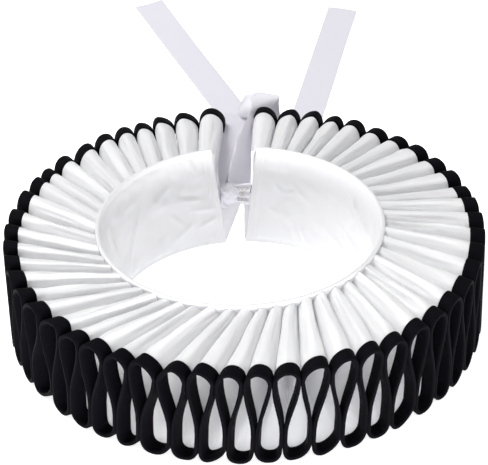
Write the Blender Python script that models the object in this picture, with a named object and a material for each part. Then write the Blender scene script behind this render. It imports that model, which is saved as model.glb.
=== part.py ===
"""Ruff collar: a satin strip in organ-pipe pleats with a black edge, on a neckband tied at the back.

Metres, +Z up. The collar stands on the feet of its pleats at z = 0 and opens towards +Y, where the
two ribbons lie out on the surface. The origin is the middle of the footprint of the whole.
"""

import math

import bmesh
import bpy
from mathutils import Vector

# The ring's axis, from the middle of the footprint
RING_Y = -0.1227

# Ruff strip and its black trim
RUFF_RADIUS = 0.130
RUFF_HEIGHT = 0.0573
TRIM_WIDTH = 0.0078
SATIN_WALL = 0.0011
TRIM_WALL = 0.0024
SEAM = 0.0003
NECK_SEAM = 0.0005
LOOP_AIR = 0.0005
FOOT_TURN = -1.5  # degrees that the foot of the ruff is turned against its top
LOOP_ROUNDING = 1.2  # height of a loop's round end, as a share of its half width
BEND_SHARE = 0.30  # height where the slanting part of a wall ends, as a share of the ruff's height
ARC_SWINGS = (25, 60, 90)  # degrees from a loop's flat top to its widest
LENGTHS = 4  # the strip and its trim are joined from so many lengths of the same number of pleats

# Neckband: a cone that widens upwards, with its ends apart at the back
NECK_X = -0.002
NECK_HEIGHT = 0.061
NECK_WALL = 0.002
NECK_FOOT_RADIUS = 0.0705
NECK_TOP_RADIUS = 0.076
NECK_STEPS = 56
NECK_ENDS = {  # angle of each end, in degrees
    "left": {"foot": 96.7, "top": 101.5},
    "right": {"foot": 87.9, "top": 82.3},
}

# Pleats: the first and last one on the neckband, and how far they follow the outer spacing there
NECK_FIRST_PLEAT = 103.7
NECK_LAST_PLEAT = 440.9
NECK_UNEVENNESS = 0.4
PLEATS = [  # angle of the crest at the outer edge in degrees, and how far the crest sinks in mm
    (97.7, 0.0), (104.8, 0.6), (111.2, 0.2), (116.6, 0.9), (122.0, 0.3), (128.2, 0.0), (134.6, 0.8),
    (142.9, 0.4), (149.0, 1.2), (154.2, 0.5), (161.8, 0.0), (169.6, 0.7), (176.0, 0.2), (182.1, 0.9),
    (189.0, 0.4), (196.0, 0.1), (203.0, 1.0), (210.0, 0.3), (219.0, 0.0), (225.6, 0.8), (232.4, 0.4),
    (239.5, 0.9), (245.6, 0.2), (253.2, 0.6), (259.6, 0.3), (265.9, 0.9), (272.2, 0.5), (278.6, 1.3),
    (285.3, 0.4), (292.2, 0.0), (298.9, 0.5), (305.3, 1.0), (312.8, 0.2), (319.5, 0.6), (326.2, 0.1),
    (333.5, 0.8), (340.8, 0.3), (348.0, 0.0), (355.3, 0.9), (362.2, 0.4), (369.2, 0.1), (375.4, 1.1),
    (383.6, 0.3), (390.6, 0.7), (398.5, 0.0), (405.1, 0.5), (412.4, 0.9), (419.4, 0.2), (425.2, 0.6),
    (431.3, 0.1), (437.4, 0.8), (443.9, 0.3),
]
END_FOOT = 3.4  # degrees from the outermost crests to the ends of the strip

# Ribbons, from the ring's axis, in mm: both edges, and how much of the width isn't folded in there
RIBBON_WALL = 0.001
RIBBON_STEPS = 3  # between two rows
RIBBON_FACETS = 4
LEFT_TIE = [  # left edge x, y, z, right edge x, y, z, open width
    (-13.0, 79.7, 33.0, -9.8, 79.9, 34.5, 6),
    (-14.2, 90.0, 36.5, -5.8, 91.0, 38.0, 11),
    (-12.4, 104.0, 39.0, -0.2, 105.0, 39.5, 14),
    (-10.6, 116.0, 42.0, 2.8, 117.0, 41.0, 15.5),
    (-8.7, 127.0, 44.6, 5.0, 128.0, 42.6, 16.5),
    (-9.6, 138.0, 46.6, 8.4, 139.0, 42.6, 19.5),
    (-10.9, 144.0, 43.0, 8.4, 145.0, 39.5, 20),
    (-11.2, 149.5, 31.5, 8.4, 150.5, 29.0, 20),
    (-11.8, 154.0, 18.0, 7.9, 156.0, 16.5, 20),
    (-11.4, 161.0, 6.5, 8.4, 162.5, 6.0, 20),
    (-9.9, 172.0, 1.0, 9.9, 174.0, 1.0, 20),
    (-9.4, 188.0, 0.5, 10.3, 191.5, 0.5, 20),
    (-14.0, 210.0, 0.5, 4.9, 216.6, 0.5, 20),
    (-21.6, 232.2, 0.5, -2.4, 238.9, 0.5, 20),
    (-46.0, 297.0, 0.5, -27.0, 304.0, 0.5, 20),
    (-71.6, 365.3, 0.5, -53.0, 375.5, 0.5, 20),
]
RIGHT_TIE = [
    (-9.0, 78.3, 38.2, -6.0, 78.6, 36.4, 6),
    (-6.6, 91.0, 49.0, 0.6, 91.0, 41.5, 11),
    (-4.2, 104.0, 55.0, 3.4, 104.0, 44.5, 14),
    (-2.0, 116.0, 58.5, 5.4, 116.0, 46.8, 15.5),
    (-1.6, 126.0, 60.5, 4.7, 127.5, 48.8, 16),
    (0.2, 132.5, 61.2, 6.8, 134.0, 49.4, 16.5),
    (3.8, 138.0, 60.0, 19.0, 140.0, 53.5, 19),
    (6.6, 143.0, 56.5, 25.0, 143.5, 51.5, 20),
    (10.5, 148.0, 43.0, 30.0, 147.0, 39.5, 20),
    (14.0, 152.0, 25.0, 33.5, 150.0, 23.0, 20),
    (17.5, 159.0, 9.0, 37.0, 156.0, 8.0, 20),
    (22.0, 172.0, 1.0, 41.0, 167.0, 1.0, 20),
    (26.5, 188.0, 0.5, 45.5, 182.0, 0.5, 20),
    (35.5, 229.3, 0.5, 55.2, 225.2, 0.5, 20),
    (49.0, 294.0, 0.5, 68.6, 289.9, 0.5, 20),
    (62.4, 358.0, 0.5, 81.7, 351.0, 0.5, 20),
]
KNOT_AT = (-0.0093, 0.0755, 0.0320)
KNOT_SIZE = (0.0094, 0.0094, 0.0135)
KNOT_WAISTS = 3
KNOT_WAIST_DEPTH = 0.08
KNOT_END = 0.06  # share of the way round that its two flat ends leave out
KNOT_RINGS = 8
KNOT_SIDES = 14
ROOT_AIR = 0.0004  # from the sewn end to the neckband's end and to the knot
ROOT_AT_BAND = 0.018
ROOT_AT_KNOT = 0.009

MM = 0.001

PALETTE = {  # name: base colour, roughness
    "neckband satin": ((0.92, 0.92, 0.94), 0.38),
    "ruff satin": ((0.90, 0.90, 0.93), 0.42),
    "black trim": ((0.010, 0.010, 0.014), 0.75),
    "ribbon satin": ((0.86, 0.86, 0.91), 0.35),
}


def material(name):
    found = bpy.data.materials.get(name)
    if found:
        return found
    colour, roughness = PALETTE[name]
    made = bpy.data.materials.new(name)
    made.use_nodes = True
    shader = made.node_tree.nodes["Principled BSDF"]
    shader.inputs["Base Color"].default_value = (*colour, 1)
    shader.inputs["Roughness"].default_value = roughness
    shader.inputs["Metallic"].default_value = 0
    return made


def add_object(name, shape, finish):
    """Puts a finished bmesh into the scene, about the ring's axis."""
    bmesh.ops.recalc_face_normals(shape, faces=shape.faces)
    mesh = bpy.data.meshes.new(name)
    shape.to_mesh(mesh)
    shape.free()
    mesh.materials.append(material(finish))
    piece = bpy.data.objects.new(name, mesh)
    piece.location = (0, RING_Y, 0)
    bpy.context.collection.objects.link(piece)
    return piece


def loft(name, sections, finish):
    """A solid through closed sections that all have the same number of points."""
    shape = bmesh.new()
    rings = [[shape.verts.new(point) for point in section] for section in sections]
    count = len(rings[0])
    for ring, following in zip(rings, rings[1:]):
        for i in range(count):
            j = (i + 1) % count
            shape.faces.new((ring[i], ring[j], following[j], following[i]))
    shape.faces.new(rings[0])
    shape.faces.new(rings[-1])
    return add_object(name, shape, finish)


def ring_point(radius, angle, height, centre_x=0.0):
    turned = math.radians(angle)
    return Vector((centre_x + radius * math.cos(turned), radius * math.sin(turned), height))


def neck_radius(height):
    """Radius of the neckband's inner face."""
    return NECK_FOOT_RADIUS + (NECK_TOP_RADIUS - NECK_FOOT_RADIUS) * height / NECK_HEIGHT


def wall_line(crest, foot, radius, gap):
    """Points (angle, height) down one wall of a pleat, from a crest's flat to the flat of a foot.

    The wall leaves the crest's loop at its widest, slants across until it is half a gap from the
    crest's centre line, and stands upright there as the side of the foot's loop.
    """
    (crest_angle, crest_height), (foot_angle, foot_height) = crest, foot
    way = 1 if foot_angle > crest_angle else -1
    half = abs(foot_angle - crest_angle) - math.degrees(gap / 2 / radius)
    rounding = math.radians(half) * radius * LOOP_ROUNDING
    flat = math.cos(math.radians(ARC_SWINGS[0]))
    arc = []
    for swing in map(math.radians, ARC_SWINGS):
        arc.append((way * half * math.sin(swing), rounding * (1 - math.cos(swing) / flat)))
    points = [(crest_angle + across, crest_height - drop) for across, drop in arc]
    points.append((foot_angle - way * half, BEND_SHARE * RUFF_HEIGHT))
    points += [(foot_angle - across, foot_height + rise) for across, rise in reversed(arc)]
    return points


def fold_line(crests, low, radius, gap):
    """The figure-eight line of the folds through all crests, from the first foot to the last."""
    middles = [(one[0] + other[0]) / 2 for one, other in zip(crests, crests[1:])]
    feet = [crests[0][0] - END_FOOT, *middles, crests[-1][0] + END_FOOT]
    points = []
    for crest, before, after in zip(crests, feet, feet[1:]):
        points += reversed(wall_line(crest, (before, low), radius, gap))
        points += wall_line(crest, (after, low), radius, gap)
    return points


def ruff_lines():
    """The fold line at the neckband and at the outer edge, as points in space."""
    first, last = PLEATS[0][0], PLEATS[-1][0]
    low = TRIM_WALL / 2
    outer_crests = []
    neck_crests = []
    for i, (angle, sink) in enumerate(PLEATS):
        even = i / (len(PLEATS) - 1)
        share = even + ((angle - first) / (last - first) - even) * NECK_UNEVENNESS
        height = RUFF_HEIGHT - low - sink * MM
        outer_crests.append((angle, height))
        neck_crests.append((NECK_FIRST_PLEAT + (NECK_LAST_PLEAT - NECK_FIRST_PLEAT) * share, height))
    seat = NECK_WALL + NECK_SEAM
    outer_line = []
    for angle, height in fold_line(outer_crests, low, RUFF_RADIUS, TRIM_WALL + LOOP_AIR):
        turned = angle + FOOT_TURN * (1 - height / RUFF_HEIGHT)
        outer_line.append(ring_point(RUFF_RADIUS, turned, height))
    inner_line = []
    for angle, height in fold_line(neck_crests, low, neck_radius(0) + seat, SATIN_WALL + LOOP_AIR):
        inner_line.append(ring_point(neck_radius(height) + seat, angle, height, NECK_X))
    return inner_line, outer_line


def half_way(start, end):
    """The point half a seam short of the middle between two points."""
    return start.lerp(end, 0.5 - SEAM / 2 / (end - start).length)


def cut_length(line, number):
    """One length's points of a fold line, with its ends in the middle of a foot."""
    count = len(line) // LENGTHS
    start, end = number * count, (number + 1) * count
    points = line[start:end]
    if number > 0:
        points.insert(0, half_way(line[start], line[start - 1]))
    if number < LENGTHS - 1:
        points.append(half_way(line[end - 1], line[end]))
    return points


def pleated_band(name, lines, start, end, wall, finish):
    """The part of the pleats between two shares of the way out, as a wall of cloth for each length."""
    for number in range(LENGTHS):
        shape = bmesh.new()
        rows = []
        for inner, outer in zip(*(cut_length(line, number) for line in lines)):
            rows.append([shape.verts.new(inner.lerp(outer, share)) for share in (start, end)])
        for one, following in zip(rows, rows[1:]):
            shape.faces.new((one[0], one[1], following[1], following[0]))
        piece = add_object(f"{name}_{number + 1}", shape, finish)
        solid = piece.modifiers.new("cloth wall", "SOLIDIFY")
        solid.thickness = wall
        solid.offset = 0
        solid.use_even_offset = True


def make_ruff():
    lines = ruff_lines()
    reach = RUFF_RADIUS - NECK_TOP_RADIUS - NECK_WALL
    trim_start = 1 - TRIM_WIDTH / reach
    pleated_band("ruff_strip", lines, 0, trim_start - SEAM / reach, SATIN_WALL, "ruff satin")
    pleated_band("trim", lines, trim_start, 1, TRIM_WALL, "black trim")


def make_neckband():
    left, right = NECK_ENDS["left"], NECK_ENDS["right"]
    sections = []
    for i in range(NECK_STEPS + 1):
        share = i / NECK_STEPS
        foot = left["foot"] + (right["foot"] + 360 - left["foot"]) * share
        top = left["top"] + (right["top"] + 360 - left["top"]) * share
        middle = (foot + top) / 2
        section = []
        for wall, levels in ((0, (0, 0.5, 1)), (NECK_WALL, (1, 0.5, 0))):
            for level in levels:
                angle = {0: foot, 0.5: middle, 1: top}[level]
                height = NECK_HEIGHT * level
                section.append(ring_point(neck_radius(height) + wall, angle, height, NECK_X))
        sections.append(section)
    loft("neckband", sections, "neckband satin")


def smooth_rows(rows, steps):
    """Rows between the given ones, on a smooth curve through them all."""
    padded = [rows[0], *rows, rows[-1]]
    result = []
    for before, start, end, after in zip(padded, padded[1:], padded[2:], padded[3:]):
        for i in range(steps):
            t = i / steps
            row = []
            for a, b, c, d in zip(before, start, end, after):
                value = 2 * b + (c - a) * t + (2 * a - 5 * b + 4 * c - d) * t**2
                row.append((value + (3 * b - a - 3 * c + d) * t**3) / 2)
            result.append(row)
    result.append(list(rows[-1]))
    return result


def bend_for(share):
    """Half the angle of an arc whose chord is this share of its length."""
    low, high = 0.01, math.pi
    while high - low > 1e-4:
        middle = (low + high) / 2
        if math.sin(middle) / middle > share:
            low = middle
        else:
            high = middle
    return low


def ribbon_section(row, heading):
    """A closed thin section from edge to edge of the ribbon, arched where the edges draw together."""
    left, right, open_width = Vector(row[:3]) * MM, Vector(row[3:6]) * MM, row[6] * MM
    side = (right - left).normalized()
    crown = side.cross(heading).normalized()
    bend = bend_for((right - left).length / open_width)
    radius = (right - left).length / 2 / math.sin(bend)
    centre = (left + right) / 2 - crown * radius * math.cos(bend)
    swings = [bend * (2 * i / RIBBON_FACETS - 1) for i in range(RIBBON_FACETS + 1)]
    points = []
    for reach, order in ((radius + RIBBON_WALL / 2, swings), (radius - RIBBON_WALL / 2, swings[::-1])):
        points += [centre + side * reach * math.sin(s) + crown * reach * math.cos(s) for s in order]
    return points


def make_ribbon(name, rows):
    rows = smooth_rows(rows, RIBBON_STEPS)
    for row in rows:  # on the surface or above it
        row[2] = max(row[2], RIBBON_WALL / 2 / MM)
        row[5] = max(row[5], RIBBON_WALL / 2 / MM)
    middles = [(Vector(row[:3]) + Vector(row[3:6])) / 2 for row in rows]
    sections = []
    for i, row in enumerate(rows):
        heading = middles[min(i + 1, len(rows) - 1)] - middles[max(i - 1, 0)]
        sections.append(ribbon_section(row, heading))
    loft(name, sections, "ribbon satin")


def make_knot():
    """A tight lump of ribbon with shallow waists where its turns cross."""
    half_x, half_y, half_z = (size / 2 for size in KNOT_SIZE)
    sections = []
    for i in range(KNOT_RINGS + 1):
        rise = math.pi * (KNOT_END + (1 - 2 * KNOT_END) * i / KNOT_RINGS)
        ring = []
        for j in range(KNOT_SIDES):
            way = math.tau * j / KNOT_SIDES
            waist = 1 - KNOT_WAIST_DEPTH * (1 + math.cos(KNOT_WAISTS * way + 2 * rise)) / 2
            reach = math.sin(rise) * waist
            spot = (half_x * reach * math.cos(way), half_y * reach * math.sin(way), half_z * math.cos(rise))
            ring.append(Vector(KNOT_AT) + Vector(spot))
        sections.append(ring)
    loft("knot", sections, "ribbon satin")


def make_right_root():
    """The sewn end of the right tie, from the neckband's end to the knot."""
    end = NECK_ENDS["right"]
    knot_x, knot_y, middle = KNOT_AT
    sections = []
    for share in (0, 0.5, 1):
        width = ROOT_AT_BAND + (ROOT_AT_KNOT - ROOT_AT_BAND) * share
        section = []
        for across, up in ((-0.5, -0.5), (0.5, -0.5), (0.5, 0.5), (-0.5, 0.5)):
            height = middle + up * width
            angle = end["foot"] + (end["top"] - end["foot"]) * height / NECK_HEIGHT
            at_band = ring_point(neck_radius(height) + NECK_WALL / 2, angle, height, NECK_X)
            at_band.x -= ROOT_AIR
            at_knot = Vector((knot_x + KNOT_SIZE[0] / 2 + ROOT_AIR, knot_y, height))
            section.append(at_band.lerp(at_knot, share) + Vector((0, across * RIBBON_WALL, 0)))
        sections.append(section)
    loft("tie_right_root", sections, "ribbon satin")


def main():
    for old in list(bpy.data.objects):
        bpy.data.objects.remove(old)
    make_neckband()
    make_ruff()
    make_knot()
    make_right_root()
    make_ribbon("tie_left", LEFT_TIE)
    make_ribbon("tie_right", RIGHT_TIE)


main()
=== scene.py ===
"""Dresses the ruff collar: pleated satin with a black binding, lined neckband, stitches, knot and ties."""

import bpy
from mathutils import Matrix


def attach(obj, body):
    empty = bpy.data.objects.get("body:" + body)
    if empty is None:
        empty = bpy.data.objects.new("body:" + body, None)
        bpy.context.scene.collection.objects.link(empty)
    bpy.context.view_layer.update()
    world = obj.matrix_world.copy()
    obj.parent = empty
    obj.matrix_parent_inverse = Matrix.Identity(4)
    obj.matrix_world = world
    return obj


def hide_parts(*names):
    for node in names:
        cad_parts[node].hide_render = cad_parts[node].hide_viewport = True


bl_info = {
    "name": "Ruff collar",
    "version": (1, 0, 0),
    "blender": (4, 5, 0),
    "location": "3D View > Sidebar > Ruff collar",
    "description": "Models the cloth, binding, stitches and ribbons of a pleated ruff collar round its frame",
    "category": "Object",
}

import math
from collections import namedtuple

import bpy
from bpy.props import FloatProperty, FloatVectorProperty, PointerProperty
from mathutils import Matrix, Vector, noise

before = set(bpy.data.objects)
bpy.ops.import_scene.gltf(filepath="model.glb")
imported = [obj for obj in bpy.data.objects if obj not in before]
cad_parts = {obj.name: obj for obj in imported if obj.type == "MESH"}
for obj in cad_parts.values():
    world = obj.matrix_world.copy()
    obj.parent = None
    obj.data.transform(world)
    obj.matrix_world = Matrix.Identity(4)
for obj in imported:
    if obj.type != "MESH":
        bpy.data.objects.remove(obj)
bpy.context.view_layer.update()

MM = 0.001

# The ring's axis, in front of the middle of the footprint
RING_Y = -0.1227

# Pleats
SEAM = 0.0001  # between the strip and its binding
NECK_SEAM = 0.0005  # between the strip and the neckband
TRIM_AIR = 0.0001  # between the walls of neighbouring pleats, at the trim
PIPE_AIR = 0.0003  # and between the satin pipes
PIPES_CLOSE = 0.18  # share of the way out in which the pipes swell until they touch
FOOT_TURN = -1.5  # degrees that the foot of the ruff is turned against its top
LOOP_ROUNDING = 1.2  # height of a loop's round end, as a share of its half width
BEND_SHARE = 0.30  # height where the slanting part of a wall ends, as a share of the ruff's height
SLOPE_SQUARENESS = 1.55  # of the long side of a leaning loop; 2 is a round arch, more is squarer
FULL_LEAN = 0.4  # share of its half width by which a loop leans where its long side is all slope
FOOT_SQUARENESS = 2.6
FOOT_LEANS = (-0.3, -0.1, 0.05, -0.35, 0.0, 0.15, -0.2)  # one foot after another
NECK_PLEATS = [  # pleat, and the angle of its crest at the neckband; even between these
    (0, 103.7), (13, 200.7), (18, 233.2), (24, 271.7), (28, 294.3), (34, 333.9), (51, 440.9),
]
# A crest's angle at the outer edge in degrees, its sink in mm, its lean as a share of its half width, and
# how square its loop is
Pleat = namedtuple("Pleat", "angle sink lean squareness")
PLEATS = [Pleat(*row) for row in (
    (97.7, 0.0, 0.15, 2.0), (104.8, 0.6, 0.35, 2.0), (111.2, 0.2, 0.4, 2.0), (116.6, 0.9, 0.3, 2.0),
    (122.0, 0.3, 0.15, 2.0), (128.2, 0.0, 0.05, 2.1), (134.6, 0.8, -0.1, 2.1), (142.9, 0.4, 0.0, 2.1),
    (149.0, 1.2, 0.1, 2.2), (154.2, 0.5, 0.0, 2.3), (161.8, 0.0, -0.1, 2.4), (169.6, 0.7, 0.2, 2.8),
    (176.0, 0.2, 0.3, 3.0), (182.1, 0.9, 0.35, 3.2), (189.0, 0.4, 0.4, 3.4), (196.0, 0.1, 0.4, 3.4),
    (203.0, 1.0, 0.45, 3.4), (210.0, 0.3, 0.45, 3.4), (219.0, 0.0, 0.45, 3.2), (225.6, 0.8, 0.35, 3.0),
    (232.4, 0.4, -0.1, 2.0), (239.5, 0.9, -0.25, 1.75), (245.6, 0.2, -0.4, 1.8), (253.2, 0.6, -0.05, 1.7),
    (259.6, 0.3, -0.35, 1.85), (265.9, 0.9, -0.1, 2.0), (272.2, 0.5, -0.15, 2.0), (278.6, 1.3, 0.05, 2.2),
    (285.3, 0.4, 0.25, 2.5), (292.2, 0.0, 0.2, 2.2), (298.9, 0.5, 0.15, 2.2), (305.3, 1.0, 0.2, 2.3),
    (312.8, 0.2, 0.1, 2.3), (319.5, 0.6, 0.1, 2.3), (326.2, 0.1, 0.15, 2.4), (333.5, 0.8, 0.25, 3.0),
    (340.8, 0.3, 0.35, 3.2), (348.0, 0.0, 0.4, 3.4), (355.3, 0.9, 0.4, 3.4), (362.2, 0.4, 0.35, 3.4),
    (369.2, 0.1, 0.2, 3.4), (375.4, 1.1, -0.1, 3.2), (383.6, 0.3, -0.25, 3.2), (390.6, 0.7, -0.2, 3.0),
    (398.5, 0.0, -0.2, 2.8), (405.1, 0.5, -0.2, 2.6), (412.4, 0.9, -0.25, 2.4), (419.4, 0.2, -0.25, 2.3),
    (425.2, 0.6, -0.35, 2.2), (431.3, 0.1, -0.4, 2.2), (437.4, 0.8, -0.35, 2.1), (443.9, 0.3, 0.0, 2.0),
)]
END_FOOT = 3.4  # degrees from the outermost crests to the ends of the strip
LENGTHS = 4  # the frame's strip and trim are in so many lengths
PIPE_CREASE = 0.002  # depth of a crease that the table gives as 1
# Pleat, place across its crest from -1 to 1, start and end share of the way out, depth, half width across
PIPE_CREASES = [
    (0, -0.35, 0.1, 0.8, 0.5, 0.2), (1, 0.1, 0.2, 0.85, 0.4, 0.2), (2, -0.4, 0.0, 0.6, 0.4, 0.25),
    (4, 0.3, 0.3, 0.85, 0.3, 0.2), (6, -0.3, 0.2, 0.85, 0.5, 0.25), (7, 0.4, 0.1, 0.8, 0.4, 0.25),
    (9, -0.2, 0.0, 0.7, 0.4, 0.2), (10, 0.35, 0.2, 0.85, 0.5, 0.2), (11, -0.3, 0.3, 0.85, 0.5, 0.25),
    (12, -0.5, 0.0, 0.85, 0.6, 0.2), (13, -0.3, 0.1, 0.7, 0.5, 0.2), (14, -0.45, 0.2, 0.85, 0.6, 0.25),
    (15, -0.2, 0.0, 0.8, 0.5, 0.2), (16, -0.5, 0.1, 0.85, 0.6, 0.25), (17, -0.3, 0.2, 0.8, 0.6, 0.2),
    (18, -0.5, 0.0, 0.85, 0.7, 0.25), (18, 0.1, 0.4, 0.85, 0.3, 0.15), (19, -0.4, 0.1, 0.8, 0.6, 0.25),
    (20, 0.4, 0.0, 0.8, 0.5, 0.2), (21, 0.35, 0.1, 0.85, 0.6, 0.2), (22, 0.3, 0.0, 0.85, 0.6, 0.25),
    (23, 0.45, 0.1, 0.7, 0.5, 0.2), (24, 0.25, 0.0, 0.8, 0.6, 0.2), (25, -0.5, 0.3, 0.85, 0.4, 0.2),
    (26, 0.5, 0.1, 0.8, 0.5, 0.2), (27, 0.4, 0.0, 0.7, 0.4, 0.2), (28, -0.35, 0.1, 0.85, 0.6, 0.25),
    (30, -0.4, 0.0, 0.8, 0.5, 0.25), (31, -0.3, 0.2, 0.85, 0.6, 0.2), (32, -0.45, 0.0, 0.75, 0.6, 0.25),
    (33, -0.3, 0.1, 0.85, 0.7, 0.25), (34, -0.4, 0.0, 0.8, 0.7, 0.25), (35, -0.35, 0.2, 0.85, 0.6, 0.2),
    (36, -0.5, 0.0, 0.85, 0.6, 0.25), (37, -0.3, 0.1, 0.8, 0.7, 0.2), (38, -0.5, 0.0, 0.7, 0.5, 0.25),
    (39, -0.35, 0.2, 0.85, 0.6, 0.2), (40, -0.4, 0.1, 0.8, 0.5, 0.25), (41, 0.35, 0.0, 0.8, 0.5, 0.2),
    (42, 0.4, 0.1, 0.85, 0.6, 0.25), (43, 0.3, 0.2, 0.8, 0.5, 0.2), (44, 0.4, 0.0, 0.7, 0.5, 0.25),
    (45, 0.3, 0.1, 0.85, 0.6, 0.2), (46, 0.4, 0.0, 0.8, 0.5, 0.2), (47, 0.2, 0.2, 0.85, 0.5, 0.25),
    (48, 0.35, 0.1, 0.8, 0.6, 0.25), (49, 0.3, 0.0, 0.85, 0.5, 0.25), (50, 0.35, 0.1, 0.85, 0.7, 0.25),
    (50, -0.5, 0.3, 0.85, 0.3, 0.15), (51, 0.35, 0.0, 0.7, 0.4, 0.25),
]

# How finely the pleats are modelled
CREST_STEPS = 12
FOOT_STEPS = 7
SLANT_STEPS = 6
STRIP_ROWS = 16
TRIM_ROWS = 3

# The pleats' small unevenness
WOBBLE = 0.0006
WOBBLE_SIZE = 28  # to the metre
FACET = 0.0015  # height of the soft lengthwise ridges of the stiffened satin
FACETS = 200  # to the metre of the strip
FACET_TURNS = 1.3  # how much they change along a pipe
FACETS_FADE = 0.1  # share of the way out in which they end at the trim
FACETS_REACH = 1.1  # from a crest's peak, where its widest is 1
FACETS_BLEND = 0.45  # in which they fade out on the same scale
WALL_FACETS = 0.15  # share of their height that the walls below keep
REACH_UNEVENNESS = 0.0005  # how unevenly far the pleats stand out
REACH_STEP = 1.7  # from one pleat to the next in the noise that this follows
CAMBER = 0.0008  # how far the crests rise between the neckband and the trim
NECK_RISE = 0.0038  # how much higher the crests are at the neckband than at the trim
LIFT_STARTS = 0.6  # share of the ruff's height over which the cloth takes part in both
END_SPREAD = 4.0  # degrees that the feet at the ends of the strip spread out, from their loops down

# Creases in pipes and lining
CREASE_END = 3  # half widths from a crease's middle to where it has run out
END_DEPTH = 0.35  # share of its depth that a crease of the lining, or a fold of the sewn end, has at its end

# Neckband
NECK_X = -0.002  # its axis, beside the ruff's
NECK_ENDS = {  # angle of each end, in degrees
    "left": {"foot": 96.7, "top": 101.5},
    "right": {"foot": 87.9, "top": 82.3},
}
NECK_COLUMNS = 480
NECK_ROWS = 66
LINING_CREASES = [  # start angle, height, end angle, height, then depth and half width, in degrees and mm
    (36, 49, 27, 44, 1.5, 1.4),
    (27, 44, 17, 38, 1.3, 1.8),
    (33, 52, 28, 43, 0.9, 1.2),
    (40, 27, 17, 14, 0.9, 2.2),
    (48, 20, 30, 8, 0.6, 2.4),
    (60, 43, 44, 36, 0.6, 2.6),
    (74, 40, 70, 34, 0.9, 1.2),
    (70, 34, 64, 37, 0.7, 1.2),
    (66, 41, 57, 33, 0.6, 1.4),
    (70, 17, 66, 4, 0.7, 1.1),
    (65, 18, 62, 6, 0.8, 1.0),
    (61, 15, 57, 4, 0.7, 1.1),
    (78, 52, 66, 50, 0.5, 1.8),
    (79, 24, 68, 20, 0.5, 1.6),
    (10, 52, 2, 30, 0.8, 2.6),
    (-6, 40, -16, 18, 0.7, 2.8),
    (112, 57, 110, 49, 1.2, 1.5),
    (119, 34, 108, 31, 1.1, 1.6),
    (99, 19, 110, 13, 0.8, 1.3),
    (99, 24, 113, 25, 0.7, 1.5),
    (112, 17, 121, 10, 0.9, 1.8),
    (124, 27, 117, 17, 0.7, 1.6),
    (133, 37, 124, 44, 0.6, 2.2),
    (141, 40, 154, 8, 0.8, 1.8),
    (150, 30, 158, 6, 0.5, 2.2),
    (167, 48, 163, 24, 0.6, 2.4),
    (186, 44, 178, 16, 0.7, 2.6),
    (212, 50, 204, 22, 0.7, 2.4),
    (236, 42, 226, 16, 0.8, 2.6),
    (262, 50, 250, 20, 0.7, 2.4),
    (290, 44, 279, 18, 0.8, 2.6),
    (316, 48, 306, 22, 0.7, 2.4),
]
LINING_CRUMPLE = 0.0009
LINING_CRUMPLE_SIZE = 70  # to the metre
CRUMPLE_MEAN = 0.3  # the lining's middle, as a share of its crumple
FINE_CRUMPLE = (0.5, 2.3)  # height and fineness of the smaller crumple, against the larger
CRUMPLE_STARTS = 0.003  # from the seams, which hold the lining flat
LINING_PUFF = 0.00045  # how far it stands in between the seams
SEAM_REACH = 0.0011  # how far beside a seam it is still drawn in
EDGE_SEAM = 0.0022  # from the band's edges to the topstitching
END_SEAM = 0.0052  # from the band's ends to their second seam
INNER_FACE = 0.1  # share of the wall up to which a point is on the inner face

# Ribbons, from the ring's axis, in mm: both edges, and the soft crease between them, where one shows
LEFT_TIE = [  # left edge x, y, z, crease x, y, z, right edge x, y, z
    (-13.0, 79.7, 33.0, -10.6, 79.4, 35.4, -9.8, 79.9, 34.5),
    (-14.0, 90.0, 36.8, -6.6, 90.5, 39.2, -5.6, 92.0, 36.6),
    (-12.9, 104.0, 39.8, 0.0, 104.5, 40.8, 0.8, 106.5, 37.4),
    (-11.8, 116.0, 42.6, 3.4, 116.5, 42.2, 4.0, 118.5, 39.4),
    (-10.8, 127.0, 45.2, 6.0, 127.8, 43.2, 6.8, 129.0, 41.0),
    (-10.5, 137.0, 47.0, 6.8, 138.2, 43.6, 8.4, 138.6, 42.8),
    (-10.6, 139.8, 46.6, 6.6, 140.8, 43.0, 8.4, 141.0, 42.2),
    (-10.8, 142.0, 43.6, 6.0, 143.0, 40.2, 8.4, 143.2, 39.2),
    (-11.2, 149.5, 31.5, 4.0, 150.3, 29.6, 8.4, 150.5, 29.0),
    (-11.8, 154.0, 18.0, 0.0, 155.2, 17.1, 7.9, 156.0, 16.5),
    (-11.4, 161.0, 6.5, -1.5, 161.8, 6.2, 8.4, 162.5, 6.0),
    (-9.9, 172.0, 1.0, 0.0, 173.0, 1.0, 9.9, 174.0, 1.0),
    (-9.4, 188.0, 0.5, 0.5, 189.7, 0.5, 10.3, 191.5, 0.5),
    (-14.0, 210.0, 0.5, -4.5, 213.3, 0.5, 4.9, 216.6, 0.5),
    (-21.6, 232.2, 0.5, -12.0, 235.5, 0.5, -2.4, 238.9, 0.5),
    (-46.0, 297.0, 0.5, -36.5, 300.5, 0.5, -27.0, 304.0, 0.5),
    (-71.6, 365.3, 0.5, -62.8, 369.2, 0.5, -53.0, 375.5, 0.5),
]
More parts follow.
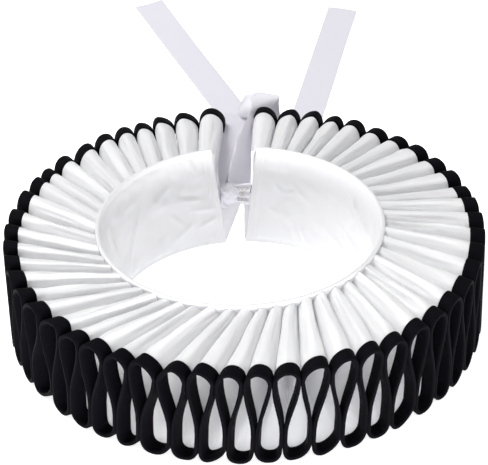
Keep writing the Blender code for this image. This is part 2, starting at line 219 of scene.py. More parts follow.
RIGHT_TIE = [  # the same columns
    (-8.3, 80.5, 33.0, -8.6, 78.3, 36.0, 4.0, 79.6, 27.5),
    (-7.2, 87.0, 37.0, -7.4, 83.0, 43.0, 4.6, 87.4, 33.6),
    (-4.6, 95.5, 42.4, -4.5, 91.0, 50.2, 5.0, 95.5, 39.0),
    (-1.2, 108.0, 47.4, -0.7, 104.0, 55.2, 5.6, 108.5, 46.0),
    (3.4, 119.5, 49.6, 3.8, 115.5, 57.0, 8.0, 120.5, 48.6),
    (5.6, 126.0, 51.2, 5.4, 122.5, 57.6, 11.6, 127.5, 49.6),
    (4.4, 131.0, 48.6, 6.0, 127.5, 58.6, 16.0, 132.5, 52.0),
    (-2.6, 139.4, 45.0, 6.0, 133.2, 59.8, 20.2, 136.0, 54.8),
    (2.6, 139.2, 58.8, 8.2, 137.4, 60.4, 23.0, 138.4, 57.2),
    (4.0, 139.6, 60.2, 11.2, 139.6, 60.2, 23.4, 140.0, 57.2),
    (4.4, 141.2, 58.6, 13.0, 141.4, 57.8, 23.2, 141.6, 55.4),
    (3.6, 142.6, 53.2, 13.0, 142.8, 51.6, 22.8, 143.0, 49.4),
    (5.0, 144.5, 43.0, 14.6, 144.5, 41.2, 24.2, 144.5, 38.5),
    (11.0, 149.0, 25.0, 20.7, 148.5, 24.0, 30.4, 148.0, 23.0),
    (17.5, 159.0, 9.0, 27.3, 157.5, 8.5, 37.0, 156.0, 8.0),
    (22.0, 172.0, 1.0, 31.5, 169.5, 1.0, 41.0, 167.0, 1.0),
    (26.5, 188.0, 0.5, 36.0, 185.0, 0.5, 45.5, 182.0, 0.5),
    (35.5, 229.3, 0.5, 45.3, 227.3, 0.5, 55.2, 225.2, 0.5),
    (49.0, 294.0, 0.5, 58.8, 292.0, 0.5, 68.6, 289.9, 0.5),
    (62.4, 358.0, 0.5, 71.7, 355.6, 0.5, 81.7, 351.0, 0.5),
]
RIBBON_STEPS = 7  # between two rows
RIBBON_FACETS = 20  # across its width
RIBBON_WIDTH = 0.020
CREASE_ROUNDING = 0.0014  # from the crease to where the ribbon is flat again
CREASE_SOFTNESS = 0.25  # how far the crease's edge is drawn in, as a share of that

# Knot and the right tie's sewn end
KNOT_AT = (-0.0080, 0.0755, 0.0310)
KNOT_SIZE = (0.0125, 0.0094, 0.0165)
KNOT_TURNS = [  # tilt about x and y in degrees, and the place along x and z as a share of half the size
    (10, 28, -0.25, 0.38),
    (-20, -34, 0.15, -0.20),
    (74, 18, -0.20, 0.02),
    (82, -42, 0.30, 0.20),
    (35, 70, -0.45, -0.62),
    (-60, 25, 0.05, -0.45),
]
KNOT_CORE = 0.86  # the part inside the turns, as a share of the knot's size
TURN_RADIUS = 0.62  # as a share of half the knot's depth
TURN_THICKNESS = 0.27
KNOT_GRAIN = 0.0006
KNOT_GRAINS = (420, 900)  # to the metre, large and small
ROOT_AIR = 0.0004
ROOT_AT_BAND = 0.0150  # the gathered ribbon's width
ROOT_AT_KNOT = 0.0105
ROOT_STEPS = (30, 44)  # along and across
ROOT_FOLDS = 3.5
ROOT_FOLD_DEPTH = 0.0008
TACKING = [  # stitches across the sewn end, as shares of the way to the knot and of its width
    (0.10, 0.25, 0.62, 0.80), (0.12, 0.80, 0.60, 0.22), (0.08, 0.22, 0.60, 0.18),
    (0.10, 0.83, 0.64, 0.84), (0.36, 0.20, 0.38, 0.82),
]
TACKING_STITCHES = 4  # in each row
TACKING_LIFT = 0.0004

# Finishes
SATIN_THREADS = 2600.0  # to the metre
BINDING_RIBS = 1400.0
NAP_PAINTED_SHEEN = 2.2  # times the binding's colour: a painted sheen where its nap catches the light
THREAD_PAINTED_SHADE = (0.7, 0.7, 0.72)  # painted shade between the turns of the twist
SATINS = {  # colour's property, painted shade of its streaks, roughness of both, weave's depth, light let through
    "ruff satin": ("satin", (0.945, 0.945, 0.955), (0.28, 0.4), 0.00006, 0.35),
    "neckband satin": ("lining", (0.79, 0.79, 0.81), (0.28, 0.38), 0.00004, 0.1),
    "ribbon satin": ("ribbon", (0.79, 0.775, 0.84), (0.34, 0.44), 0.00004, 0.12),
}

# Camera and light
PHOTO_WIDTH = 488
FOCAL_PIXELS = 2158.24
CAMERA_AT = (0.0, -1.0914, 0.6999)
CAMERA_PITCH = -33.695
CAMERA_ROLL = -1.479
SENSOR = 36.0
LIGHTS = {  # place, width in metres, height as a share of the width
    "key": ((-0.7, 0.25, 1.35), 0.7, 1.0),
    "fill": ((1.1, -0.9, 0.9), 1.6, 1.0),
    "front": ((0, -1.6, 0.13), 3.4, 0.06),
}
LIT_HEIGHT = 0.03  # of the point on the ruff's axis that they shine at
LIGHT_BOUNCES = 20  # so that light reaches the depth of the white pleats


class RuffSizes(bpy.types.PropertyGroup):
    """The pleated strip and its black edge."""

    radius: FloatProperty(
        name="Ruff radius", description="From the ring's axis to the outer edge of the pleats",
        default=0.130, min=0.1, max=0.3, subtype="DISTANCE", unit="LENGTH")
    height: FloatProperty(
        name="Ruff height", description="From the feet of the pleats to their crests",
        default=0.0573, min=0.02, max=0.15, subtype="DISTANCE", unit="LENGTH")
    satin_wall: FloatProperty(
        name="Satin thickness", description="Thickness of the stiffened satin",
        default=0.0009, min=0.0003, max=0.0011, subtype="DISTANCE", unit="LENGTH")
    trim_width: FloatProperty(
        name="Trim width", description="Width of the black binding on the pleats' edge",
        default=0.0078, min=0.003, max=0.02, subtype="DISTANCE", unit="LENGTH")
    trim_wall: FloatProperty(
        name="Trim thickness", description="Thickness of the binding folded over the edge",
        default=0.0020, min=0.0012, max=0.0024, subtype="DISTANCE", unit="LENGTH")


class NeckbandSizes(bpy.types.PropertyGroup):
    """The band that goes round the neck."""

    foot_radius: FloatProperty(
        name="Foot radius", description="Inside radius at the lower edge",
        default=0.0705, min=0.05, max=0.12, subtype="DISTANCE", unit="LENGTH")
    top_radius: FloatProperty(
        name="Top radius", description="Inside radius at the upper edge",
        default=0.076, min=0.05, max=0.12, subtype="DISTANCE", unit="LENGTH")
    height: FloatProperty(
        name="Height", description="Height of the neckband",
        default=0.061, min=0.02, max=0.12, subtype="DISTANCE", unit="LENGTH")
    wall: FloatProperty(
        name="Thickness", description="Both layers of the neckband together",
        default=0.002, min=0.001, max=0.003, subtype="DISTANCE", unit="LENGTH")
    stitch_pitch: FloatProperty(
        name="Stitch pitch", description="From one stitch of the topstitching to the next",
        default=0.0026, min=0.0015, max=0.006, subtype="DISTANCE", unit="LENGTH")
    thread: FloatProperty(
        name="Thread thickness", description="Diameter of the sewing thread",
        default=0.0004, min=0.0002, max=0.001, subtype="DISTANCE", unit="LENGTH")


class RibbonSizes(bpy.types.PropertyGroup):
    """The two ties."""

    wall: FloatProperty(
        name="Ribbon thickness", description="Thickness of the satin ribbon",
        default=0.0006, min=0.0003, max=0.001, subtype="DISTANCE", unit="LENGTH")


class CollarColours(bpy.types.PropertyGroup):
    """Colours of the finishes."""

    satin: FloatVectorProperty(
        name="Ruff satin", description="Colour of the pleated strip",
        default=(0.971, 0.971, 0.975), subtype="COLOR", size=3, min=0, max=1)
    lining: FloatVectorProperty(
        name="Neckband satin", description="Colour of the neckband and its lining",
        default=(0.83, 0.83, 0.845), subtype="COLOR", size=3, min=0, max=1)
    trim: FloatVectorProperty(
        name="Trim", description="Colour of the black binding",
        default=(0.0016, 0.0015, 0.0026), subtype="COLOR", size=3, min=0, max=1)
    ribbon: FloatVectorProperty(
        name="Ribbon", description="Colour of the ties",
        default=(0.83, 0.815, 0.865), subtype="COLOR", size=3, min=0, max=1)
    thread: FloatVectorProperty(
        name="Thread", description="Colour of the sewing thread",
        default=(0.90, 0.90, 0.90), subtype="COLOR", size=3, min=0, max=1)
    tacking: FloatVectorProperty(
        name="Tacking thread", description="Colour of the stitches through the sewn end of the tie",
        default=(0.58, 0.53, 0.38), subtype="COLOR", size=3, min=0, max=1)


class StageSettings(bpy.types.PropertyGroup):
    """Floor and light."""

    surroundings: FloatProperty(
        name="Surroundings", description="Strength of the even white light from all sides",
        default=0.42, min=0, max=5)
    key_power: FloatProperty(
        name="Key light", description="Power of the large soft light",
        default=17.5, min=0, max=500, unit="POWER")
    fill_power: FloatProperty(
        name="Fill light", description="Power of the soft light on the other side",
        default=3, min=0, max=500, unit="POWER")
    front_power: FloatProperty(
        name="Front light", description="Power of the low light that shines into the pleats",
        default=37, min=0, max=500, unit="POWER")
    floor_glow: FloatProperty(
        name="Floor glow", description="How much light the white floor gives by itself",
        default=0.75, min=0, max=2)
    floor_size: FloatProperty(
        name="Floor size", description="Side of the floor",
        default=6.0, min=1, max=20, subtype="DISTANCE", unit="LENGTH")


# Node groups and materials


def new_group(name, inputs, outputs):
    """A shader node group with named sockets, and its two ends."""
    group = bpy.data.node_groups.new(name, "ShaderNodeTree")
    for label, kind, value in inputs:
        socket = group.interface.new_socket(label, in_out="INPUT", socket_type=kind)
        if value is not None:
            socket.default_value = value
    for label, kind in outputs:
        group.interface.new_socket(label, in_out="OUTPUT", socket_type=kind)
    return group, group.nodes.new("NodeGroupInput"), group.nodes.new("NodeGroupOutput")


def add_node(tree, kind, settings=None, **values):
    """A node with its settings, and with numbers or links for its sockets by name."""
    node = tree.nodes.new(kind)
    for name, value in (settings or {}).items():
        setattr(node, name, value)
    for name, value in values.items():
        feed(tree, node.inputs[name.replace("_", " ")], value)
    return node


def feed(tree, socket, value):
    """Links another socket to this one, or sets its number or colour."""
    if isinstance(value, bpy.types.NodeSocket):
        tree.links.new(value, socket)
    else:
        socket.default_value = value


def math_node(tree, operation, first, second):
    """What comes of two numbers or sockets by the named operation."""
    node = tree.nodes.new("ShaderNodeMath")
    node.operation = operation
    feed(tree, node.inputs[0], first)
    feed(tree, node.inputs[1], second)
    return node.outputs[0]


def stretched(tree, vector, across, along):
    """Coordinates at so many repeats to the metre each way."""
    scale = add_node(tree, "ShaderNodeCombineXYZ", X=across, Y=along, Z=1.0)
    mapping = add_node(tree, "ShaderNodeMapping", Vector=vector, Scale=scale.outputs["Vector"])
    return mapping.outputs["Vector"]


def rib_bands(tree, vector, **values):
    """Ribs side by side, one for each repeat of the coordinates."""
    return add_node(
        tree, "ShaderNodeTexWave", {"wave_type": "BANDS", "bands_direction": "X"},
        Vector=vector, Scale=0.16, **values)


def satin_weave_group():
    """Fine floats of a satin weave, as their height."""
    group, start, end = new_group(
        "satin weave",
        [("Vector", "NodeSocketVector", None), ("Threads", "NodeSocketFloat", SATIN_THREADS)],
        [("Height", "NodeSocketFloat")],
    )
    along = math_node(group, "MULTIPLY", start.outputs["Threads"], 0.22)
    place = stretched(group, start.outputs["Vector"], start.outputs["Threads"], along)
    floats = add_node(
        group, "ShaderNodeTexNoise", {"noise_dimensions": "2D"}, Vector=place,
        Scale=1.0, Detail=1.0, Roughness=0.4)
    ribs = rib_bands(group, place, Distortion=0.3)
    both = math_node(group, "MULTIPLY", floats.outputs["Fac"], ribs.outputs["Fac"])
    group.links.new(both, end.inputs["Height"])
    return group


def gloss_and_painted_shade_streaks_group():
    """Long, soft lengthwise streaks, as the thread runs in a satin: they vary its gloss and paint darker
    shade into its colour.
    """
    group, start, end = new_group(
        "soft streaks",
        [("Vector", "NodeSocketVector", None), ("Across", "NodeSocketFloat", 260.0),
         ("Along", "NodeSocketFloat", 14.0)],
        [("Mask", "NodeSocketFloat")],
    )
    place = stretched(group, start.outputs["Vector"], start.outputs["Across"], start.outputs["Along"])
    streaks = add_node(
        group, "ShaderNodeTexNoise", {"noise_dimensions": "2D"}, Vector=place,
        Scale=1.0, Detail=3.0, Roughness=0.55)
    group.links.new(streaks.outputs["Fac"], end.inputs["Mask"])
    return group


def tint_group():
    """A colour that moves a little towards another one with a mask: painted shade and painted sheen on the
    cloth, the floor's own tone on the floor.
    """
    group, start, end = new_group(
        "cloth tint",
        [("Colour", "NodeSocketColor", (0.8, 0.8, 0.8, 1)), ("Other", "NodeSocketColor", (0.8, 0.8, 0.8, 1)),
         ("Mask", "NodeSocketFloat", 0.5), ("Amount", "NodeSocketFloat", 0.3)],
        [("Colour", "NodeSocketColor")],
    )
    amount = math_node(group, "MULTIPLY", start.outputs["Mask"], start.outputs["Amount"])
    mix = add_node(group, "ShaderNodeMix", {"data_type": "RGBA"})
    group.links.new(amount, mix.inputs[0])
    group.links.new(start.outputs["Colour"], mix.inputs[6])
    group.links.new(start.outputs["Other"], mix.inputs[7])
    group.links.new(mix.outputs[2], end.inputs["Colour"])
    return group


def nap_group():
    """The short nap and fine cross ribs of the binding, and the nap as the mask of its painted sheen."""
    group, start, end = new_group(
        "ribbed nap",
        [("Vector", "NodeSocketVector", None), ("Ribs", "NodeSocketFloat", BINDING_RIBS)],
        [("Height", "NodeSocketFloat"), ("Nap", "NodeSocketFloat")],
    )
    place = stretched(group, start.outputs["Vector"], start.outputs["Ribs"], 220.0)
    ribs = rib_bands(group, place, Distortion=1.2, Detail=1.0)
    nap = add_node(
        group, "ShaderNodeTexNoise", {"noise_dimensions": "3D"}, Vector=start.outputs["Vector"],
        Scale=1500.0, Detail=2.0, Roughness=0.6)
    both = math_node(group, "ADD", ribs.outputs["Fac"], nap.outputs["Fac"])
    group.links.new(both, end.inputs["Height"])
    group.links.new(nap.outputs["Fac"], end.inputs["Nap"])
    return group


GROUP_MAKERS = {
    "satin weave": satin_weave_group,
    "soft streaks": gloss_and_painted_shade_streaks_group,
    "cloth tint": tint_group,
    "ribbed nap": nap_group,
}


def place_group(tree, name, **values):
    """Puts a shared effect into a material, with its own values."""
    node = tree.nodes.new("ShaderNodeGroup")
    node.node_tree = bpy.data.node_groups.get(name) or GROUP_MAKERS[name]()
    for label, value in values.items():
        feed(tree, node.inputs[label], value)
    return node


def bare_material(name):
    """A material with its surface shader, its output and the piece's own UV map."""
    made = bpy.data.materials.new(name)
    made.use_nodes = True
    tree = made.node_tree
    shader = tree.nodes["Principled BSDF"]
    chart = tree.nodes.new("ShaderNodeUVMap")
    chart.uv_map = "cloth"
    return made, tree, shader, chart.outputs["UV"]


def roughness_between(tree, mask, low, high):
    """Roughness that follows a mask from one value to another."""
    spread = add_node(tree, "ShaderNodeMapRange", Value=mask)
    spread.inputs["From Min"].default_value = 0.3
    spread.inputs["From Max"].default_value = 0.7
    spread.inputs["To Min"].default_value = low
    spread.inputs["To Max"].default_value = high
    return spread.outputs["Result"]


def cover(tree, shader, colour, other, mask, amount, rough, relief):
    """Colours a surface from its own colour towards a second one by a mask that its roughness follows, and
    gives it relief; the second colour is painted shade on satin and thread and painted sheen on the binding.
    """
    tint = place_group(tree, "cloth tint", Colour=(*colour, 1), Other=(*other, 1), Mask=mask, Amount=amount)
    height, distance, strength = relief
    bump = add_node(tree, "ShaderNodeBump", Height=height, Distance=distance, Strength=strength)
    feed(tree, shader.inputs["Base Color"], tint.outputs["Colour"])
    feed(tree, shader.inputs["Roughness"], roughness_between(tree, mask, *rough))
    feed(tree, shader.inputs["Normal"], bump.outputs["Normal"])


def satin_material(name, colour, shade, rough, weave_depth, see_through):
    """White satin: a weave, long streaks in its gloss that also paint darker shade into its colour, and a
    little light that comes through.
    """
    made, tree, shader, chart = bare_material(name)
    weave = place_group(tree, "satin weave", Vector=chart, Threads=SATIN_THREADS)
    streaks = place_group(tree, "soft streaks", Vector=chart, Across=320.0, Along=16.0)
    # Painted shade: along the streaks the colour moves towards the darker shade, as gloss bands would look
    cover(
        tree, shader, colour, shade, streaks.outputs["Mask"], amount=0.6, rough=rough,
        relief=(weave.outputs["Height"], weave_depth, 0.5))
    shader.inputs["Sheen Weight"].default_value = 0.2
    shader.inputs["Sheen Roughness"].default_value = 0.35
    through = add_node(tree, "ShaderNodeBsdfTranslucent", Color=(*colour, 1))
    mix = add_node(tree, "ShaderNodeMixShader", Fac=see_through)
    output = tree.nodes["Material Output"]
    tree.links.new(shader.outputs["BSDF"], mix.inputs[1])
    tree.links.new(through.outputs["BSDF"], mix.inputs[2])
    tree.links.new(mix.outputs["Shader"], output.inputs["Surface"])
    return made


def trim_material(name, colour):
    """Black binding: a dull nap over fine cross ribs, with a painted sheen that brightens its colour along
    the nap.
    """
    made, tree, shader, chart = bare_material(name)
    nap = place_group(tree, "ribbed nap", Vector=chart, Ribs=BINDING_RIBS)
    # Painted sheen: where the nap mask is high the black is brightened, as if the nap caught the light
    painted_sheen = [NAP_PAINTED_SHEEN * value for value in colour]
    cover(
        tree, shader, colour, painted_sheen, nap.outputs["Nap"], amount=0.9, rough=(0.62, 0.8),
        relief=(nap.outputs["Height"], 0.00008, 0.6))
    shader.inputs["Specular IOR Level"].default_value = 0.04
    shader.inputs["Sheen Weight"].default_value = 0.006
    shader.inputs["Sheen Roughness"].default_value = 0.5
    return made


def thread_material(name, colour):
    """Cotton thread with a slight twist, and painted shade between its turns."""
    made, tree, shader, _chart = bare_material(name)
    place = tree.nodes.new("ShaderNodeTexCoord").outputs["Object"]
    twist = add_node(tree, "ShaderNodeTexNoise", Vector=place, Scale=4000.0, Detail=1.0)
    # Painted shade: the thread darkens by the twist's noise, as between the turns of the twist
    cover(
        tree, shader, colour, THREAD_PAINTED_SHADE, twist.outputs["Fac"], amount=0.5, rough=(0.5, 0.7),
        relief=(twist.outputs["Fac"], 0.0001, 0.5))
    return made


def finish(name):
    """The named finish, made when it is first asked for."""
    found = bpy.data.materials.get(name)
    if found:
        return found
    colours = bpy.context.scene.collar_colours
    if name in SATINS:
        colour, *look = SATINS[name]
        return satin_material(name, getattr(colours, colour), *look)
    if name == "black trim":
        return trim_material(name, colours.trim)
    if name == "thread":
        return thread_material(name, colours.thread)
    if name == "tacking thread":
        return thread_material(name, colours.tacking)
    raise ValueError(f"there is no finish named {name}")


# Cloth


def deselect():
    """Leaves edit mode and selects nothing, so that an operator acts on its own piece alone."""
    if bpy.context.object and bpy.context.object.mode != "OBJECT":
        bpy.ops.object.mode_set(mode="OBJECT")
    bpy.ops.object.select_all(action="DESELECT")


def pick(piece):
    """Makes a piece the only selected one, and the active one."""
    deselect()
    piece.select_set(True)
    bpy.context.view_layer.objects.active = piece


def cloth_rectangle(name, columns, rows):
    """A flat rectangle of cloth, one unit each way, with a face for each step."""
    deselect()
    bpy.ops.mesh.primitive_grid_add(x_subdivisions=columns, y_subdivisions=rows, size=1)
    piece = bpy.context.object
    piece.name = name
    piece.data.name = name
    piece.data.uv_layers[0].name = "cloth"
    return piece


def lay(piece, place, chart):
    """Moves each point of a flat rectangle to its place, and lays its UV map out at real size."""
    mesh = piece.data
    spots = [(point.co.x + 0.5, point.co.y + 0.5) for point in mesh.vertices]
    for point, spot in zip(mesh.vertices, spots):
        point.co = place(*spot)
    charted = mesh.uv_layers["cloth"].data
    for corner in mesh.loops:
        charted[corner.index].uv = chart(*spots[corner.vertex_index])
    mesh.update()


def apply_modifiers(piece):
    """Applies all of a piece's modifiers, first to last."""
    pick(piece)
    for modifier in list(piece.modifiers):
        bpy.ops.object.modifier_apply(modifier=modifier.name)


def thicken(piece, wall, offset=0.0, rounding=0.0, segments=2):
    """Gives cloth its thickness, and rounds its edges."""
    solid = piece.modifiers.new("cloth wall", "SOLIDIFY")
    solid.thickness = wall
    solid.offset = offset
    solid.use_even_offset = True
    if rounding:
        edge = piece.modifiers.new("rounded edges", "BEVEL")
        edge.width = rounding
        edge.segments = segments
        edge.limit_method = "ANGLE"
        edge.angle_limit = math.radians(60)
    apply_modifiers(piece)


def smooth(piece, degrees=50):
    """Shades a piece smooth, but not across its edges."""
    pick(piece)
    bpy.ops.object.shade_smooth_by_angle(angle=math.radians(degrees))


def hand_over(piece, finish_name, slot, *nodes):
    """Gives a finished piece its material and its body, and hides the frame's nodes that it stands for; its
    slot is not used.
    """
    piece.data.materials.clear()
    piece.data.materials.append(finish(finish_name))
    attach(piece, "root")
    if nodes:
        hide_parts(*nodes)


# Pleats

# A crest's or foot's loop: the middle's angle, the peak's angle, and the peak's height
Loop = namedtuple("Loop", "angle peak height squareness")
# The mark is 0 at a crest's peak, 1 where it is widest, 2 where the foot is widest, and 3 in its middle
Spot = namedtuple("Spot", "angle height mark")
# Points at the neckband, at the trim and where the pipes touch, the way out of the cloth, and its pleat;
# then its mark, its share of the ruff's height, and its place along the strip
Fold = namedtuple("Fold", "inner outer swollen out pleat mark rise along")


def ring_point(radius, angle, height, centre_x=0.0):
    """A point round the ring's axis, at an angle in degrees from +X."""
    turned = math.radians(angle)
    return Vector((centre_x + radius * math.cos(turned), RING_Y + radius * math.sin(turned), height))


def neck_radius(height):
    """Radius of the neckband's inner face."""
    band = bpy.context.scene.neckband_sizes
    return band.foot_radius + (band.top_radius - band.foot_radius) * height / band.height


def loop_end(loop, way, half, rounding, steps):
    """One side of a loop's round end, from its peak to its widest: angles, and how far below the peak."""
    reach = half + way * (loop.angle - loop.peak)
    slope = min(max(reach / half - 1, 0) / FULL_LEAN, 1)
    power = 2 / (loop.squareness + (SLOPE_SQUARENESS - loop.squareness) * slope)
    points = []
    for i in range(steps + 1):
        swing = math.pi / 2 * i / steps
        across = reach * math.sin(swing) ** power
        points.append((loop.peak + way * across, rounding * (1 - max(math.cos(swing), 0) ** power)))
    return points


def wall_line(crest, foot, radius, gap, ruff_height):
    """Spots down one wall of a pleat, from a crest's peak to the middle of a foot."""
    way = 1 if foot.angle > crest.angle else -1
    half = abs(foot.angle - crest.angle) - math.degrees(gap / 2 / radius)
    rounding = math.radians(half) * radius * LOOP_ROUNDING
    top = [
        Spot(angle, crest.height - drop, i / CREST_STEPS)
        for i, (angle, drop) in enumerate(loop_end(crest, way, half, rounding, CREST_STEPS))
    ]
    bottom = [
        Spot(angle, foot.height + rise, 3 - i / FOOT_STEPS)
        for i, (angle, rise) in enumerate(loop_end(foot, -way, half, rounding, FOOT_STEPS))
    ]
    high, low = top[-1], Spot(foot.angle - way * half, BEND_SHARE * ruff_height, 2)
    slant = []
    for i in range(1, SLANT_STEPS + 1):
        t = i / SLANT_STEPS
        eased = t * t * (3 - 2 * t)
        height = high.height + (low.height - high.height) * t
        slant.append(Spot(high.angle + (low.angle - high.angle) * eased, height, 1 + t))
    return top + slant + bottom[::-1]


def fold_line(crests, low, radius, gap, ruff_height):
    """The figure-eight line of the folds through all crests, from the first foot to the last."""
    feet = [Loop(crests[0].angle - END_FOOT, crests[0].angle - END_FOOT, low, FOOT_SQUARENESS)]
    for i, (one, other) in enumerate(zip(crests, crests[1:])):
        middle = (one.angle + other.angle) / 2
        lean = FOOT_LEANS[i % len(FOOT_LEANS)] * (other.angle - one.angle) / 2
        feet.append(Loop(middle, middle + lean, low, FOOT_SQUARENESS))
    feet.append(Loop(crests[-1].angle + END_FOOT, crests[-1].angle + END_FOOT, low, FOOT_SQUARENESS))
    spots = []
    for number, (crest, before, after) in enumerate(zip(crests, feet, feet[1:])):
        rising = wall_line(crest, before, radius, gap, ruff_height)[:0:-1]
        falling = wall_line(crest, after, radius, gap, ruff_height)[:-1]
        if number == 0:
            rising = [spread(spot, -1) for spot in rising]
        if number == len(crests) - 1:
            falling = [spread(spot, 1) for spot in falling]
        spots += [(number, spot._replace(mark=-spot.mark)) for spot in rising]
        spots += [(number, spot) for spot in falling]
    last = feet[-1]
    spots.append((len(crests) - 1, spread(Spot(last.angle, last.height, 3), 1)))
    return spots


def spread(spot, way):
    """A spot of the strip's end wall, which stands further out towards its foot."""
    return spot._replace(angle=spot.angle + way * END_SPREAD * (max(spot.mark - 1, 0) / 2) ** 1.5)


def crest_loops(angles, low, ruff_height):
    """The crests at these angles, with the lean and squareness of each pleat."""
    narrowest = min(other - one for one, other in zip(angles, angles[1:]))
    loops = []
    for angle, pleat in zip(angles, PLEATS):
        peak = angle + pleat.lean * narrowest / 2
        loops.append(Loop(angle, peak, ruff_height - low - pleat.sink * MM, pleat.squareness))
    return loops


def neck_crest_angle(pleat):
    """Angle of a pleat's crest where it is sewn to the neckband."""
    for (start, low), (end, high) in zip(NECK_PLEATS, NECK_PLEATS[1:]):
        if start <= pleat <= end:
            return low + (high - low) * (pleat - start) / (end - start)
    raise ValueError(f"pleat {pleat} has no place at the neckband")


def ruff_folds():
    """The folds of the strip: where each is at the neckband and at the outer edge."""
    ruff = bpy.context.scene.ruff_sizes
    band = bpy.context.scene.neckband_sizes
    low = ruff.trim_wall / 2
    outer_angles = [pleat.angle for pleat in PLEATS]
    neck_angles = [neck_crest_angle(pleat) for pleat in range(len(PLEATS))]
    seat = band.wall + NECK_SEAM
    outer_crests = crest_loops(outer_angles, low, ruff.height)
    neck_crests = crest_loops(neck_angles, low, ruff.height)
    pipe_gap = ruff.satin_wall + PIPE_AIR
    lines = zip(
        fold_line(outer_crests, low, ruff.radius, ruff.trim_wall + TRIM_AIR, ruff.height),
        fold_line(outer_crests, low, ruff.radius, pipe_gap, ruff.height),
        fold_line(neck_crests, low, neck_radius(0) + seat, pipe_gap, ruff.height),
    )
    folds = []
    along = 0
    for (pleat, outer), (_pleat, swollen), (_same, inner) in lines:
        reach = ruff.radius + REACH_UNEVENNESS * (noise.noise(Vector((pleat * REACH_STEP, 0, 5))) - 1)
        twist = FOOT_TURN * (1 - outer.height / ruff.height)
        far = ring_point(reach, outer.angle + twist, outer.height)
        near = ring_point(neck_radius(inner.height) + seat, inner.angle, inner.height, NECK_X)
        touching = ring_point(reach, swollen.angle + twist, swollen.height)
        if folds:
            along += (far - folds[-1].outer).length
        rise = outer.height / ruff.height
        folds.append(Fold(near, far, touching, None, pleat, outer.mark, rise, along))
    for i, fold in enumerate(folds):
        line = folds[min(i + 1, len(folds) - 1)].outer - folds[max(i - 1, 0)].outer
        folds[i] = fold._replace(out=(fold.outer - fold.inner).cross(line).normalized())
    return folds


def pipe_relief(fold, share, trim_start):
    """How far the satin stands out from a plain pipe, with its lengthwise creases and ridges."""
    held = min(max(trim_start - share, 0) / FACETS_FADE, 1)
    held *= min(max((FACETS_REACH - abs(fold.mark)) / FACETS_BLEND, WALL_FACETS), 1)
    valleys, ridges = (
        abs(noise.noise(Vector((fold.along * FACETS, share * FACET_TURNS, layer)))) for layer in (2, 7))
    relief = FACET * (valleys - ridges)
    for pleat, place, start, end, deep, half_width in PIPE_CREASES:
        if pleat == fold.pleat and start < share < end:
            away = (fold.mark - place) / half_width
            if abs(away) < CREASE_END:
                fade = math.sin(math.pi * (share - start) / (end - start)) ** 0.5
                relief -= deep * PIPE_CREASE * math.exp(-away * away) * fade
    return relief * held


def pleat_point(fold, share, trim_start):
    """A point of the pleated cloth, at a share of the way out from the neckband."""
    closed = min(max(trim_start - share, 0) / PIPES_CLOSE, 1)
    closed *= closed * (3 - 2 * closed)
    point = fold.inner.lerp(fold.outer.lerp(fold.swollen, closed), share)
    outwards = fold.outer - fold.inner
    sideways = Vector((-outwards.y, outwards.x, 0)).normalized()
    sway = noise.noise(point * WOBBLE_SIZE) * WOBBLE * math.sin(math.pi * min(share, 1))
    point += sideways * sway
    point += fold.out * pipe_relief(fold, share, trim_start)
    lift = NECK_RISE * (1 - share) + CAMBER * math.sin(math.pi * share) * share
    point.z += lift * max(0, fold.rise - LIFT_STARTS) / (1 - LIFT_STARTS)
    return point


def pleated_cloth(name, folds, rows, start, end):
    """The part of the pleats between two shares of the way out, as a folded rectangle of cloth."""
    ruff = bpy.context.scene.ruff_sizes
    reach = ruff_reach()
    trim_start = 1 - ruff.trim_width / reach
    columns = len(folds) - 1
    piece = cloth_rectangle(name, columns, rows)
    lay(
        piece,
        lambda u, v: pleat_point(folds[round(u * columns)], start + (end - start) * v, trim_start),
        lambda u, v: (folds[round(u * columns)].along, (start + (end - start) * v) * reach),
    )
    return piece


def ruff_reach():
    """How far the ruff stands out from the top of the neckband."""
    ruff = bpy.context.scene.ruff_sizes
    band = bpy.context.scene.neckband_sizes
    return ruff.radius - band.top_radius - band.wall


# Neckband


def neck_angle(share, level):
    """Angle at a share of the way round from the left end, at a level from the foot to the top."""
    left, right = NECK_ENDS["left"], NECK_ENDS["right"]
    foot = left["foot"] + (right["foot"] + 360 - left["foot"]) * share
    top = left["top"] + (right["top"] + 360 - left["top"]) * share
    return foot + (top - foot) * level


def seam_puff(distance, seams):
    """How far the lining puffs up beside its seams, from 0 in a seam to 1."""
    return min(1 - math.exp(-((distance - seam) / SEAM_REACH) ** 2) for seam in seams)


